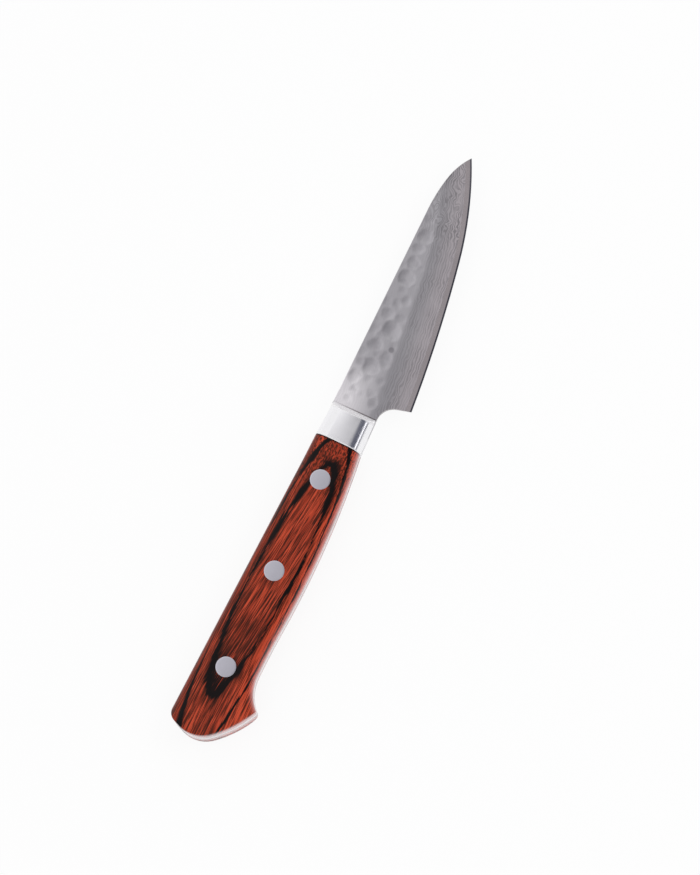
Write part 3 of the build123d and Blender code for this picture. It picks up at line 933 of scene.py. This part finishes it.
rimEnds = (-20.0, 4.0)        # past both ends of the bolster
bolsterRim = lineObject("bolsterRim", [(x, cheekLow(x), 0) for x in rimEnds]
                        + [(x, outline["backRise"], 0) for x in rimEnds[::-1]], breaks=(1,))
helpers.append(bolsterRim)
bolsterColumns = np.concatenate([np.linspace(-outline["bolsterLength"], -2.6, 34), np.linspace(-2.5, 0, 36)])
for sideName, side in sides:
    rails, columnCount = railMesh(sideName + "BolsterRails", bolsterColumns, cheekLow,
                                  level(outline["backRise"]), cheekTop, cheekCut,
                                  capped=("first", "last"), crown=cheekCrown)
    piece = growPiece(sideName + "BolsterCheek", rails, roundedSlab, {
        **shared, "Section": slabSection, "Columns": columnCount, "Rows": slabRows, "Floor": halfBlade,
        "Side": side, "Finish": bolsterSteel, "Rim": bolsterRim, "Rim Radius": bolster["rimRadius"],
        "Blend": bolster["blend"]})
    helpers.append(rails)
    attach(piece, "root")
    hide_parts(sideName + "_bolster")

# Wooden scales
wood = {
    "red": (0.31, 0.034, 0.014, 1), "orange": (0.58, 0.074, 0.032, 1), "brown": (0.055, 0.012, 0.006, 1),
    "black": (0.005, 0.003, 0.003, 1), "pale": (0.8, 0.5, 0.5, 1), "sheenTint": (1.0, 0.93, 0.95, 1),
    "roughness": 0.42, "coatRoughness": 0.1, "specular": 0.08, "sheen": 0.6, "sheenRoughness": 0.25,
    "bump": (0.3, 0.012), "rimRadius": 4.0, "blend": 0.01, "flatRun": 18.0,
    "podSlant": 0.02, "grainSlant": 0.1,       # rise per mm of run
    "loopSpread": 0.22,                        # outwards, per mm that the surface falls away
    "streakScale": (0.065, 2.0, 1.0), "fineScale": (0.1, 3.5, 1.0), "fleckScale": (0.9, 2.6, 1.0),
    "paleScale": (0.05, 0.5, 1.0), "otherSide": 31.0,   # how far off the left scale's grain is taken
}
innerLoop = {
    "Centre": (-57.1, -0.3, 0), "Half Size": (38.4, 6.0, 1), "Power": 1.95, "Width": 0.44,
    "Back Width": 0.5, "Fray": 2.6, "Wander": 0.8, "Seed": 1.5,
}
outerLoop = {
    "Centre": (-62.5, -0.35, 0), "Half Size": (53.5, 8.6, 1), "Power": 2.3, "Width": 0.22,
    "Back Width": 0.42, "Fray": 1.5, "Wander": 0.9, "Seed": 8.5,
}


def makeWoodMaterial():
    material, tree, shader = newMaterial("red laminated wood")
    at, xyz = placeInMm(tree)
    # The layers lie flat in the scale, so a loop spreads outwards where its surface falls away
    fallen = minus(tree, halfHandle, calc(tree, "ABSOLUTE", xyz[2]))
    spread = times(tree, calc(tree, "SIGN", xyz[1]), fallen, wood["loopSpread"])
    side = times(tree, mapRange(tree, xyz[2], -0.5, 0.5, 1.0, 0.0, False), wood["otherSide"])
    across = plus(tree, xyz[1], spread)
    run = plus(tree, xyz[0], 57.5)
    straight = joinXyz(tree, xyz[0], across)
    slanted = joinXyz(tree, xyz[0], timesPlus(tree, run, wood["grainSlant"], across))
    podPlace = joinXyz(tree, xyz[0], timesPlus(tree, run, wood["podSlant"], across))
    pod = useGroup(tree, darkLayer, {"Vector": podPlace, "Grain": slanted, **innerLoop})
    outer = useGroup(tree, darkLayer, {"Vector": straight, "Grain": straight, **outerLoop})
    # Grain: it runs aslant inside the inner loop, and breaks into flecks near the bolster
    grainY = blendFloat(tree, pod["Inside"], splitXyz(tree, straight)[1], splitXyz(tree, slanted)[1])
    grain = joinXyz(tree, xyz[0], grainY, side)
    nearBolster = mapRange(tree, xyz[0], -34.0, -16.0)
    streak = noise(tree, grain, wood["streakScale"], 3.0, 0.7, 2.0)
    fine = noise(tree, grain, wood["fineScale"], 2.0, 0.5, 6.0)
    fleck = noise(tree, grain, wood["fleckScale"], 1.5, 0.5, 9.0, 0.5)
    fine = blendFloat(tree, times(tree, nearBolster, 0.8), fine, fleck)
    pale = noise(tree, grain, wood["paleScale"], 3.0, 0.6, 11.0)
    # More of the dark grain towards the butt and inside the loop; less towards the belly, part of a painted
    # highlight there
    towardButt = mapRange(tree, xyz[0], -52.0, -92.0, 0.0, 0.08)
    crowd = plus(tree, times(tree, pod["Inside"], towardButt),
                 mapRange(tree, xyz[0], -86.0, -98.0, 0.0, 0.012),
                 mapRange(tree, xyz[1], -5.6, -7.2, 0.0, -0.035))
    darkest = plus(tree, streak, crowd)
    darker = mapRange(tree, darkest, 0.5, 0.62)
    lines = mapRange(tree, plus(tree, fine, crowd), 0.48, 0.55)
    halo = larger(tree, pod["Halo"], times(tree, outer["Halo"], 0.12))
    # Black layers, the filled end of the inner loop, and the line of glue against the bolster
    offBack = mapRange(tree, xyz[1], 7.9, 7.2)
    closer = mapRange(tree, xyz[0], -78.0, -95.0, 0.0, 0.32, False)
    filled = mapRange(tree, plus(tree, fine, closer), 0.6, 0.7, 0.0, 0.95)
    black = larger(tree, pod["Band"], times(tree, outer["Band"], offBack), times(tree, filled, pod["Inside"]),
                   mapRange(tree, darkest, 0.6, 0.68, 0.0, 0.8),
                   mapRange(tree, xyz[0], -12.1, -11.7, 0.0, 0.9))
    # Lacquer lies thicker on the rounded side of the belly, with a painted pale reflection there; the rounded
    # side of the back gets painted shade
    onBelly = times(tree, mapRange(tree, fallen, 0.8, 4.0), mapRange(tree, xyz[1], 5.0, 1.0))
    onBack = times(tree, mapRange(tree, fallen, 0.1, 1.6), mapRange(tree, xyz[1], 3.0, 6.0))
    base = blendColor(tree, mapRange(tree, pale, 0.36, 0.6), wood["red"], wood["orange"])
    base = layColors(tree, base, [
        # Orange towards the belly: a painted highlight
        (mapRange(tree, xyz[1], -5.6, -7.2), 0.9, wood["orange"]),
        (darker, 0.58, wood["brown"]), (lines, 0.92, wood["brown"]),
        (halo, mapRange(tree, fine, 0.35, 0.55, 0.2, 0.85), wood["brown"]), (black, 1.0, wood["black"]),
        (onBelly, 0.42, wood["pale"]), (onBack, 0.45, wood["brown"])])
    marks = useGroup(tree, handling, {"Vector": at, "Size": 12.0, "Seed": 21.0})["Mask"]
    rough = timesPlus(tree, darker, 0.08, timesPlus(tree, marks, 0.1, wood["roughness"]))
    shader.inputs["Specular IOR Level"].default_value = wood["specular"]
    shader.inputs["Coat Roughness"].default_value = wood["coatRoughness"]
    shader.inputs["Sheen Weight"].default_value = wood["sheen"]
    shader.inputs["Sheen Roughness"].default_value = wood["sheenRoughness"]
    shader.inputs["Sheen Tint"].default_value = wood["sheenTint"]
    pores = timesPlus(tree, fine, -0.6, times(tree, streak, -1.0))
    looks = {"Base Color": base, "Roughness": rough, "Coat Weight": timesPlus(tree, onBelly, 0.9, 0.1)}
    endMaterial(tree, shader, looks, pores, wood["bump"])
    return material


laminatedWood = makeWoodMaterial()


def scaleRails():
    # The outline from the butt's rearmost point: round over the back, and round under the belly
    fromCentre = buttArc - outline["buttCentre"]
    angles = np.degrees(np.arctan2(fromCentre[:, 1], fromCentre[:, 0])) % 360
    turn = int(np.argmin(np.abs(angles - 180)))
    buttUp = buttArc[: turn + 1][::-1]
    buttUp[0] = (outline["buttCentre"][0] - outline["buttRadius"], outline["buttCentre"][1])
    cornerRound = outline["buttCornerRound"]
    cornerArc = roundCorner(buttArc[0], outline["buttCorner"], outline["backBend"], cornerRound)
    upper = np.vstack([buttUp, cornerArc, backLine[::-1][1:]])
    hookArc = roundCorner(buttToHook[-9], outline["hook"], belly[-9], outline["hookRound"], 16)
    lowerButt = np.vstack([[buttUp[0]], buttArc[turn + 1:], buttToHook[1:]])
    lowerButt = lowerButt[lowerButt[:, 0] < hookArc[0, 0]]
    bellyBack = belly[::-1]
    bellyBack = bellyBack[bellyBack[:, 0] > hookArc[-1, 0]]
    lower = np.vstack([lowerButt, hookArc, bellyBack])
    start = buttUp[0][0]
    places = np.concatenate([
        start + 12 * (1 - np.cos(np.linspace(0, math.pi / 2, 56))),
        np.linspace(start + 12, -outline["bolsterLength"], 150), hookArc[:, 0], cornerArc[:, 0],
    ])
    low, high = (lambda xs, rail=rail: np.interp(xs, rail[:, 0], rail[:, 1]) for rail in (lower, upper))
    return low, high, np.unique(np.round(places, 3))


def woodCrown(xs):
    # As crowned as the bolster at the front, then soon flat
    return np.maximum(0, 1 + (xs + outline["bolsterLength"]) / wood["flatRun"]) / (2 * bolster["rearCrown"])


woodLow, woodHigh, woodColumns = scaleRails()
backRim = np.vstack([backLine, [backLine[-1] + (backLine[-1] - backLine[-2]) * outline["pastButt"]]])
bellyRim = np.vstack([[(2.0, -outline["frontDrop"])], belly])
woodRim = lineObject("woodRim", sideBySide(backRim, bellyRim), breaks=(len(backRim) - 1,))
helpers.append(woodRim)
for sideName, side in sides:
    rails, columnCount = railMesh(sideName + "ScaleRails", woodColumns, woodLow, woodHigh,
                                  level(halfHandle), level(noCut), capped=("last",), crown=woodCrown)
    piece = growPiece(sideName + "Scale", rails, roundedSlab, {
        **shared, "Section": slabSection, "Columns": columnCount, "Rows": slabRows, "Floor": halfBlade,
        "Side": side, "Finish": laminatedWood, "Rim": woodRim, "Rim Radius": wood["rimRadius"],
        "Blend": wood["blend"]})
    helpers.append(rails)
    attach(piece, "root")
    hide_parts(sideName + "_scale")

# Rivets
rivets = {
    "runs": (-24.0, -54.5, -86.3), "headRadius": 3.1, "headHeight": 2.4, "proud": 0.03, "dome": 0.05,
    "pinRadius": 1.4, "sleeveRadius": 2.1, "clearance": 0.03, "sleeveEndGap": 0.3, "segments": 96,
    "sharpAngle": 50.0, "color": (0.61, 0.6, 0.66, 1), "scratchColor": (0.5, 0.49, 0.54, 1),
    "scratched": 0.3, "roughness": 0.3, "markRoughness": 0.08, "markSize": 3.0, "markSeed": 19.0,
    "along": (1.2, 6.0, 0.5), "density": 0.6, "hairSeed": 17.0, "bump": (0.15, 0.003),
}
rivetSteel = makeSteel("satin rivet steel", rivets)


def headProfile(facing):
    # From the crown of the head down to its underside, for a head that faces up (1) or down (-1)
    radius, face = rivets["headRadius"], halfHandle + rivets["proud"]
    shares = (0, 0.3, 0.6, 0.85, 0.93)
    crown = [(radius * share, face + rivets["dome"] * (1 - share ** 2)) for share in shares]
    edge = [(radius - 0.12, face - 0.005), (radius - 0.05, face - 0.03), (radius - 0.01, face - 0.08),
            (radius, face - 0.16), (radius, halfHandle - rivets["headHeight"])]
    return [(out, facing * up) for out, up in crown + edge]


headFloor = halfHandle - rivets["headHeight"]
pinOut, sleeveOut = rivets["pinRadius"], rivets["sleeveRadius"]
bore, sleeveEnd = pinOut + rivets["clearance"], headFloor - rivets["sleeveEndGap"]
pinProfile = headProfile(1) + [
    (pinOut, headFloor), (pinOut, -headFloor + 0.7), (pinOut - 0.2, -headFloor + 0.5), (0, -headFloor + 0.5)]
sleeveProfile = headProfile(-1) + [
    (sleeveOut, -headFloor), (sleeveOut, sleeveEnd), (bore, sleeveEnd), (bore, -headFloor), (0, -headFloor)]
for pieceName, nodeEnd, profile in (("rivetPins", "_rivet_pin", pinProfile),
                                    ("rivetSleeves", "_rivet_sleeve", sleeveProfile)):
    line = lineObject(pieceName + "Profile", sideBySide(profile))
    spots = [corner + Vector((run * perMm, 0, 0)) for run in rivets["runs"]]
    places = lineObject(pieceName + "Places", spots, joined=False)
    piece = growPiece(pieceName, places, turnedParts, {
        "Profile": line, "Profile Points": len(profile), "Segments": rivets["segments"],
        "Seam Distance": knife["seamDistance"], "Sharp Angle": rivets["sharpAngle"], "Finish": rivetSteel})
    helpers += [line, places]
    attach(piece, "root")
    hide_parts(*[name + nodeEnd for name in ("front", "middle", "rear")])

# Tang and core keep their CAD shape
tang = {
    "color": (0.76, 0.75, 0.765, 1), "scratchColor": (0.58, 0.57, 0.59, 1), "scratched": 0.35,
    "roughness": 0.26, "markRoughness": 0.1, "markSize": 10.0, "markSeed": 27.0, "along": (0.5, 6.0, 6.0),
    "density": 0.6, "hairSeed": 25.0, "bump": (0.2, 0.004),
}
for nodeName, material in (("tang", makeSteel("ground tang steel", tang)), ("blade_core", coreSteel)):
    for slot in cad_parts[nodeName].material_slots:
        slot.material = material
for helper in helpers:
    bpy.data.objects.remove(helper)
print("knife dressed")

# Floor, light and camera
studio = {
    "floorColor": (0.95, 0.95, 0.95, 1), "floorGlow": 0.9, "floorHalf": 3.0,
    "floorHeight": -0.0001,       # metres, a little below the knife
    "lampPower": 5.0,
    "lampSize": 0.9, "lampFrom": Vector((0.55, -0.75, 1.25)), "skyWhite": (0.95, 0.95, 0.95, 1),
    "cardNear": (0.37, 0.365, 0.38, 1), "cardFar": (1.06, 1.05, 1.07, 1), "cardMiddle": (0.06, 0.0, 0.0),
    "flagShade": (0.115, 0.12, 0.155, 1), "stripShade": (1.8, 1.8, 1.85, 1),
    "horizonShade": (0.16, 0.16, 0.19, 1),
}


def makeFloor():
    mesh = bpy.data.meshes.new("floor")
    half = studio["floorHalf"]
    corners = [(-half, -half, 0), (half, -half, 0), (half, half, 0), (-half, half, 0)]
    mesh.from_pydata(corners, [], [(0, 1, 2, 3)])
    floor = bpy.data.objects.new("floor", mesh)
    floor.location = (0, 0, studio["floorHeight"])
    bpy.context.scene.collection.objects.link(floor)
    material, tree, shader = newMaterial("pale paper floor")
    shader.inputs["Base Color"].default_value = studio["floorColor"]
    shader.inputs["Roughness"].default_value = 1.0
    shader.inputs["Specular IOR Level"].default_value = 0.0
    glow = addNode(tree, "ShaderNodeEmission", {"Color": (1, 1, 1, 1), "Strength": 1.0})
    path = addNode(tree, "ShaderNodeLightPath").outputs
    share = times(tree, larger(tree, path["Is Camera Ray"], path["Is Glossy Ray"]), studio["floorGlow"])
    mixed = addNode(tree, "ShaderNodeMixShader", {0: share, 1: shader.outputs[0], 2: glow.outputs[0]})
    output = next(node for node in tree.nodes if node.type == "OUTPUT_MATERIAL")
    linkInputs(tree, output, {"Surface": mixed.outputs[0]})
    mesh.materials.append(material)


def makeSky():
    # A white studio. The metal shows a card overhead, grey to the belly's side and pale to the
    # back's, then a dark flag, a bright strip and a dark line along the horizon.
    world = bpy.data.worlds.new("studio")
    world.use_nodes = True
    bpy.context.scene.world = world
    tree = world.node_tree
    background = tree.nodes["Background"]
    x, y, z = splitXyz(tree, addNode(tree, "ShaderNodeTexCoord").outputs["Generated"])
    onPlan = joinXyz(tree, times(tree, x, 1.25), y)
    fromCard = vectorCalc(tree, "DISTANCE", onPlan, studio["cardMiddle"])
    card = times(tree, mapRange(tree, fromCard, 0.64, 0.46), calc(tree, "GREATER_THAN", z, 0.0))
    onBelly = mapRange(tree, y, -0.5, -0.7)
    low = calc(tree, "MINIMUM", mapRange(tree, y, -0.22, -0.36), mapRange(tree, x, -0.1, 0.1))
    flag = times(tree, mapRange(tree, y, -0.06, -0.44), mapRange(tree, z, 0.34, 0.44),
                 larger(tree, low, mapRange(tree, x, 0.16, 0.32)))
    strip = times(tree, onBelly, mapRange(tree, z, 0.44, 0.34))
    line = times(tree, onBelly, times(tree, mapRange(tree, z, 0.26, 0.22), mapRange(tree, z, -0.02, 0.02)))
    toFar = mapRange(tree, y, 0.03, 0.36, smooth=False)
    cardShade = blendColor(tree, toFar, studio["cardNear"], studio["cardFar"])
    shade = layColors(tree, studio["skyWhite"], [
        (card, 1.0, cardShade), (strip, 1.0, studio["stripShade"]), (line, 1.0, studio["horizonShade"]),
        (flag, 1.0, studio["flagShade"])])
    seen = addNode(tree, "ShaderNodeLightPath").outputs["Is Camera Ray"]
    linkInputs(tree, background, {"Color": blendColor(tree, seen, shade, (1, 1, 1, 1))})
    background.inputs["Strength"].default_value = 1.0


def makeLamp():
    light = bpy.data.lights.new("softbox", "AREA")
    light.shape = "DISK"
    light.size = studio["lampSize"]
    light.energy = studio["lampPower"]
    lamp = bpy.data.objects.new("softbox", light)
    bpy.context.scene.collection.objects.link(lamp)
    lamp.location = studio["lampFrom"]
    lamp.rotation_mode = "QUATERNION"
    lamp.rotation_quaternion = (-studio["lampFrom"]).to_track_quat("-Z", "Y")
    lamp.visible_camera = False
    lamp.visible_glossy = False    # the strip in the sky is what the metal shows


view = {
    "distance": 1.2, "tilt": 13.75, "azimuth": -136.0, "roll": 63.3,
    "aim": Vector((0.00365, 0.00125, 0.0062)),
    "focal": 4026.0, "imageHeight": 875.0,     # both in pixels of the photograph
    "sensor": 36.0,
}


def makeCamera():
    tilt, azimuth, roll = (math.radians(view[name]) for name in ("tilt", "azimuth", "roll"))
    back = Vector((math.sin(tilt) * math.cos(azimuth), math.sin(tilt) * math.sin(azimuth), math.cos(tilt)))
    alongX = (Vector((1, 0, 0)) - back * back.x).normalized()
    alongY = back.cross(alongX)
    right = alongX * math.cos(roll) - alongY * math.sin(roll)
    up = alongX * math.sin(roll) + alongY * math.cos(roll)
    data = bpy.data.cameras.new("photo camera")
    data.sensor_fit = "VERTICAL"
    data.sensor_height = view["sensor"]
    data.sensor_width = view["sensor"]
    data.lens = view["sensor"] * view["focal"] / view["imageHeight"]
    data.clip_start, data.clip_end = 0.05, 20.0
    camera = bpy.data.objects.new("photo camera", data)
    bpy.context.scene.collection.objects.link(camera)
    turned = Matrix((right, up, back)).transposed().to_4x4()
    camera.matrix_world = Matrix.Translation(view["aim"] + back * view["distance"]) @ turned
    bpy.context.scene.camera = camera


makeFloor()
makeSky()
makeLamp()
makeCamera()
bpy.context.scene.view_settings.view_transform = "Standard"
print("studio ready")
